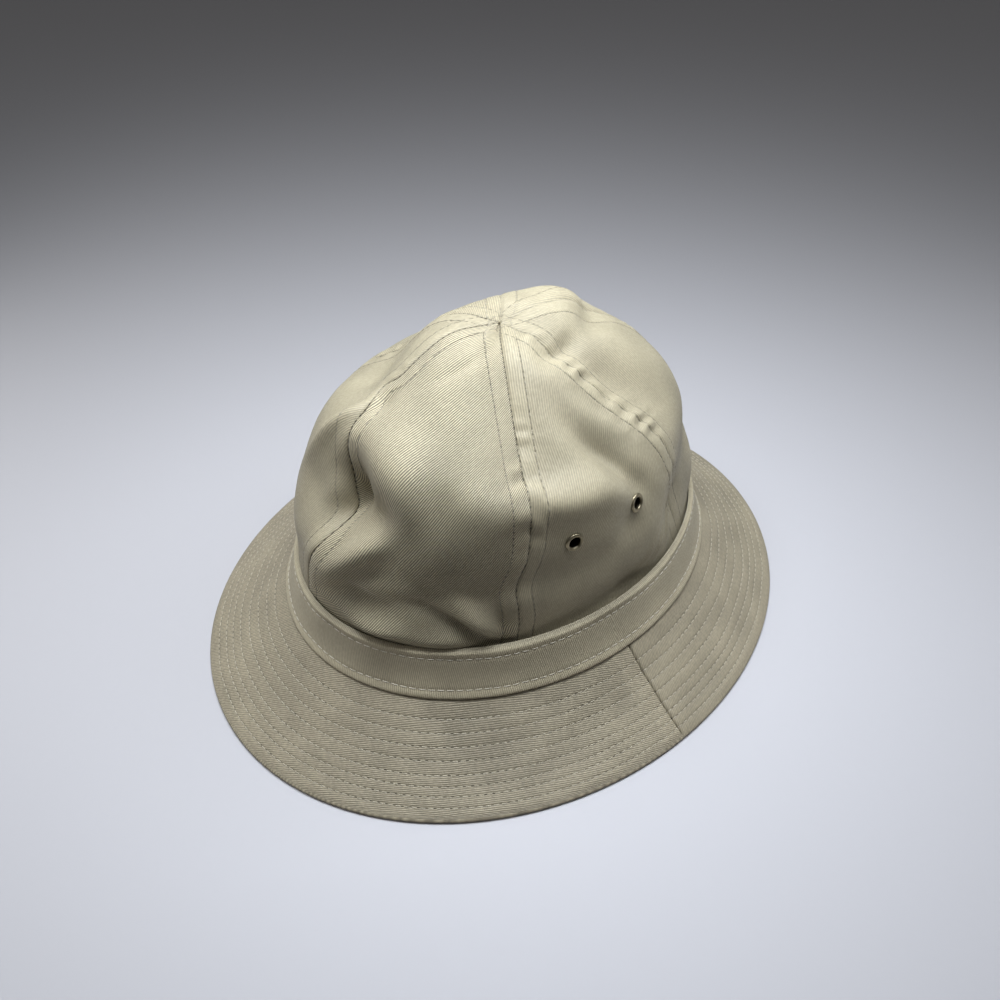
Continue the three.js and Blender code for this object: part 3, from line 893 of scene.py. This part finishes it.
def twill(name, color, weave, stitch_lines):
    """Cotton twill: slanting wales made bolder by painted shade and light, broken up by their yarns, with
    painted shade in hollows, in needle holes and along stitch lines, and lighter wear on ridges.
    """
    shader = Shader(name)
    x, y = shader.coordinates("cloth")
    lean = math.radians(weave.lean)
    cos, sin = math.cos(lean), math.sin(lean)
    across = shader.total(shader.product(x, cos), shader.product(y, -sin))
    along = shader.total(shader.product(x, sin), shader.product(y, cos))
    wander = shader.product(shader.cloth_noise(x, y, 0.04, 0.04, detail=1.0), 1.2)
    phase = shader.total(shader.product(across, 1 / weave.pitch), wander)
    wave = shader.total(shader.product(shader.math("SINE", shader.product(phase, 2 * math.pi)), 0.5), 0.5)
    floats = shader.cloth_noise(phase, along, 1.0, 0.55, detail=2.0)
    fuzz = shader.cloth_noise(x, y, 3.1, 3.1, detail=2.0)
    mottle = shader.cloth_noise(x, y, 0.045, 0.045, detail=3.0)
    count, away = shader.coordinates("rows")
    # Painted shade in the needle holes, and steadily along seam ditches and stitch rows
    hole_shade = shader.ramp(shader.math("COSINE", shader.product(count, 2 * math.pi)), 0.1, 0.9, 0.0, 1.0)
    lines = 0.0
    for line in stitch_lines:
        gap = shader.math("ABSOLUTE", shader.math("SUBTRACT", away, line.distance))
        band = shader.ramp(gap, 0.15 * line.half_width, line.half_width, 1.0, 0.0)
        dots = shader.total(shader.product(hole_shade, 1 - line.steady), line.steady)
        lines = shader.total(shader.product(band, dots, line.dark), lines)
    relief = shader.add("Attribute", {}, attribute_name="relief").outputs["Fac"]
    shade = shader.product(
        # The wales' own pattern, made bolder by painted shade between the wales and painted light on them
        shader.total(shader.product(wave, weave.contrast), 1 - 0.5 * weave.contrast),
        shader.ramp(floats, 0.25, 0.75, 1 - weave.broken, 1 + weave.broken),
        shader.ramp(mottle, 0.3, 0.7, 0.95, 1.05),
        shader.ramp(fuzz, 0.2, 0.8, 0.97, 1.03),
        # Painted shade where the relief is low, in ditches, dents and hollows, and lighter wear on raised
        # ridges
        shader.ramp(relief, -0.9, 0.6, 0.8, 1.08),
        shader.math("SUBTRACT", 1.0, lines),
    )
    height = shader.total(
        shader.product(wave, 0.7 * min(1, 1.6 * weave.contrast)),
        shader.product(floats, 0.2),
        shader.product(fuzz, 0.2),
        shader.product(lines, -1.6),
    )
    roughness = shader.ramp(floats, 0.2, 0.8, 0.7, 0.56)
    fixed = {"Sheen Weight": 0.03, "Sheen Roughness": 0.4, "Specular IOR Level": 0.4}
    return shader.finish(shader.tint(color, shade), roughness, height, 0.22 * MM, fixed)


def thread(name, color):
    """Twisted sewing thread."""
    shader = Shader(name)
    ply = shader.space_noise(2600.0, 2.0)
    shade = shader.ramp(ply, 0.3, 0.7, 0.8, 1.12)
    roughness = shader.ramp(ply, 0.2, 0.8, 0.5, 0.7)
    fixed = {"Sheen Weight": 0.3, "Sheen Roughness": 0.4, "Specular IOR Level": 0.3}
    return shader.finish(shader.tint(color, shade), roughness, ply, 0.1 * MM, fixed)


def antique_brass(name, color):
    """Brass that has dulled, with fine scuffs and darker tarnish."""
    shader = Shader(name)
    scuff = shader.space_noise(1500.0, 3.0)
    tarnish = shader.space_noise(420.0, 3.0)
    shade = shader.ramp(tarnish, 0.35, 0.7, 1.05, 0.6)
    roughness = shader.ramp(scuff, 0.3, 0.7, 0.28, 0.46)
    return shader.finish(shader.tint(color, shade), roughness, scuff, 0.05 * MM, {"Metallic": 1.0})


def plain_floor(name, color):
    shader = Shader(name)
    grain = shader.space_noise(300.0, 2.0)
    shade = shader.ramp(grain, 0.3, 0.7, 0.995, 1.005)
    roughness = shader.ramp(grain, 0.2, 0.8, 0.6, 0.7)
    return shader.finish(shader.tint(color, shade), roughness, grain, 0.01 * MM, {})


CROWN_COLOR = (0.277, 0.236, 0.146)
BAND_COLOR = (0.379, 0.323, 0.206)
BRIM_COLOR = (0.267, 0.225, 0.144)
THREAD_COLOR = (0.42, 0.365, 0.258)
# The crown's thread is painted darker than it really is: painted shade where it sinks into the stitch dents
SHADED_CROWN_THREAD_COLOR = (0.235, 0.2, 0.13)
BAND_THREAD_COLOR = (0.5, 0.445, 0.33)
BRASS_COLOR = (0.3, 0.255, 0.16)
FLOOR_COLOR = (0.434, 0.415, 0.4)

# Painted shade in the needle holes and along a seam's ditch or a stitch row: how far from it, how wide on
# each side, how dark, and how much of that is steady between the holes
StitchLine = namedtuple("StitchLine", "distance half_width dark steady")
SEAM_LINE = StitchLine(0.0, 0.4, 0.85, 0.25)
SEAM_ROW_LINE = StitchLine(SEAM_STITCH_ROW, 0.36, 0.5, 0.35)
BAND_ROW_LINE = StitchLine(0.0, 0.5, 0.2, 0.3)
BRIM_ROW_LINE = StitchLine(0.0, 0.42, 0.42, 0.2)

# How far apart wales are, how far they lean from upright, in degrees, how boldly they show, and how much
# their floats differ
Weave = namedtuple("Weave", "pitch lean contrast broken")
CROWN_WEAVE = Weave(0.86, 24, 0.42, 0.07)
BAND_WEAVE = Weave(0.8, 12, 0.4, 0.06)
BRIM_WEAVES = {"brim_front": Weave(0.82, 36, 0.5, 0.14), "brim_back": Weave(0.82, 84, 0.3, 0.1)}
band_twill = twill("band_twill", BAND_COLOR, BAND_WEAVE, [BAND_ROW_LINE])
cloth_thread = thread("cloth_thread", THREAD_COLOR)
# Thread darkened by painted shade, for the crown's sunk stitches
shaded_crown_thread = thread("shaded_crown_thread", SHADED_CROWN_THREAD_COLOR)
band_thread = thread("band_thread", BAND_THREAD_COLOR)
brass = antique_brass("antique_brass", BRASS_COLOR)


def dress(piece, material, slot, *nodes):
    """Gives a piece its material and its place in the hat."""
    piece.data.materials.append(material)
    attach(piece, "root")
    if nodes:
        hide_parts(*nodes)


for number, panel in enumerate(PANELS):
    lines = [SEAM_LINE, SEAM_ROW_LINE._replace(dark=panel.row_dark)]
    weave = CROWN_WEAVE._replace(lean=panel.lean, contrast=panel.contrast)
    panel_twill = twill(f"{panel.name}_twill", CROWN_COLOR, weave, lines)
    dress(panel_piece(number), panel_twill, "crown_twill", panel.name)
dress(band_piece(), band_twill, "band_twill", "band")
for half in BRIM_HALVES:
    brim_twill = twill(f"{half.name}_twill", BRIM_COLOR, BRIM_WEAVES[half.name], [BRIM_ROW_LINE])
    dress(brim_piece(half), brim_twill, "brim_twill", half.name)
for eyelet in EYELETS:
    dress(eyelet_piece(eyelet), brass, "eyelet_metal", eyelet.name)
dress(crown_stitching(), shaded_crown_thread, "crown_twill")
dress(band_stitching(), band_thread, "band_twill")
dress(brim_stitching(), cloth_thread, "brim_twill")


# Floor, camera and light

FLOOR_HALF = 4000


def floor():
    corners = FLOOR_HALF * np.array([(-1, -1, 0), (1, -1, 0), (1, 1, 0), (-1, 1, 0)])
    ground = new_piece("floor", corners, [(0, 1, 2, 3)])
    ground.data.materials.append(plain_floor("floor", FLOOR_COLOR))


# The photograph's view: focal length in pixels, angles in degrees, and the millimetres along the view's axis
# to the hat's origin
PICTURE = 1000
FOCAL_PIXELS = 800
ORIGIN_PIXEL = (501, 571)
VIEW_PITCH = 44.0
VIEW_ROLL = -0.3
VIEW_TURN = 54.4
VIEW_DISTANCE = 406
SENSOR = 36.0


def photo_camera():
    pitch, roll = math.radians(VIEW_PITCH), math.radians(VIEW_ROLL)
    forward = Vector((0, math.cos(pitch), -math.sin(pitch)))
    level_up = Vector((0, math.sin(pitch), math.cos(pitch)))
    level_right = Vector((1, 0, 0))
    right = math.cos(roll) * level_right + math.sin(roll) * level_up
    up = -math.sin(roll) * level_right + math.cos(roll) * level_up
    sideways = (ORIGIN_PIXEL[0] - 0.5 * PICTURE) / FOCAL_PIXELS
    upwards = (0.5 * PICTURE - ORIGIN_PIXEL[1]) / FOCAL_PIXELS
    place = -(forward + sideways * right + upwards * up) * VIEW_DISTANCE * MM
    axes = Matrix((right, up, -forward)).transposed().to_4x4()
    turn = Matrix.Rotation(math.radians(VIEW_TURN), 4, "Z")
    lens = bpy.data.cameras.new("camera")
    lens.sensor_width = SENSOR
    lens.lens = SENSOR * FOCAL_PIXELS / PICTURE
    camera = new_object("camera", lens)
    camera.matrix_world = turn @ Matrix.Translation(place) @ axes
    bpy.context.scene.camera = camera


# Two soft light panels above the hat, a pale wall on its left and a fainter one on its right in the picture,
# and a wide panel high up that lights the whole floor. right is to the picture's right of the hat's middle.
# Their lengths are metres.
Lamp = namedtuple("Lamp", "name height right along size power color")
HAT_MIDDLE = Vector((0, 0, 0.06))
VIEW_ROTATION = Matrix.Rotation(math.radians(VIEW_TURN), 3, "Z")
CAMERA_SIDE = VIEW_ROTATION @ Vector((0, -1, 0))
PICTURE_RIGHT = VIEW_ROTATION @ Vector((1, 0, 0))
COOL = (0.86, 0.94, 1.09)
PALE = (0.95, 0.97, 1.03)
PANEL_SIZE = (0.36, 0.16)
WALL_SIZE = (0.4, 0.4)
LAMPS = [
    Lamp("low_panel", 0.34, 0.05, PICTURE_RIGHT, PANEL_SIZE, 1.25, COOL),
    Lamp("high_panel", 0.5, -0.045, PICTURE_RIGHT, PANEL_SIZE, 2.35, COOL),
    Lamp("left_wall", 0.22, -0.45, CAMERA_SIDE, WALL_SIZE, 0.72, PALE),
    Lamp("right_wall", 0.22, 0.45, CAMERA_SIDE, WALL_SIZE, 0.3, PALE),
    Lamp("ceiling", 8, 0, PICTURE_RIGHT, (5, 5), 100, PALE),
]
# The world's glow at the horizon and overhead, and the height where it has faded, as a share of straight up
GLOW = SimpleNamespace(horizon=0.13, overhead=0.02, height=0.5, color=(0.93, 0.95, 1.0, 1))


def soft_light(row):
    """A panel of light that faces the hat, with its long side along a direction."""
    lamp = bpy.data.lights.new(row.name, "AREA")
    lamp.shape = "RECTANGLE"
    lamp.size, lamp.size_y = row.size
    lamp.energy = row.power
    lamp.color = row.color
    light = new_object(row.name, lamp)
    place = Vector((0, 0, row.height)) + row.right * PICTURE_RIGHT
    back = (place - HAT_MIDDLE).normalized()
    side = (row.along - row.along.dot(back) * back).normalized()
    turn = Matrix((side, back.cross(side), back)).transposed().to_4x4()
    light.matrix_world = Matrix.Translation(place) @ turn
    light.visible_camera = False


def horizon_glow():
    """A world that is pale at the horizon and nearly dark overhead."""
    world = bpy.data.worlds.new("studio")
    world.use_nodes = True
    tree = world.node_tree
    toward = tree.nodes.new("ShaderNodeTexCoord").outputs["Generated"]
    split = tree.nodes.new("ShaderNodeSeparateXYZ")
    fade = tree.nodes.new("ShaderNodeMapRange")
    fade.interpolation_type = "SMOOTHSTEP"
    fade.inputs["From Max"].default_value = GLOW.height
    fade.inputs["To Min"].default_value = GLOW.horizon
    fade.inputs["To Max"].default_value = GLOW.overhead
    back = tree.nodes["Background"]
    back.inputs["Color"].default_value = GLOW.color
    tree.links.new(toward, split.inputs["Vector"])
    tree.links.new(split.outputs["Z"], fade.inputs["Value"])
    tree.links.new(fade.outputs["Result"], back.inputs["Strength"])
    bpy.context.scene.world = world


floor()
photo_camera()
for lamp in LAMPS:
    soft_light(lamp)
horizon_glow()
bpy.context.scene.view_settings.view_transform = "Standard"
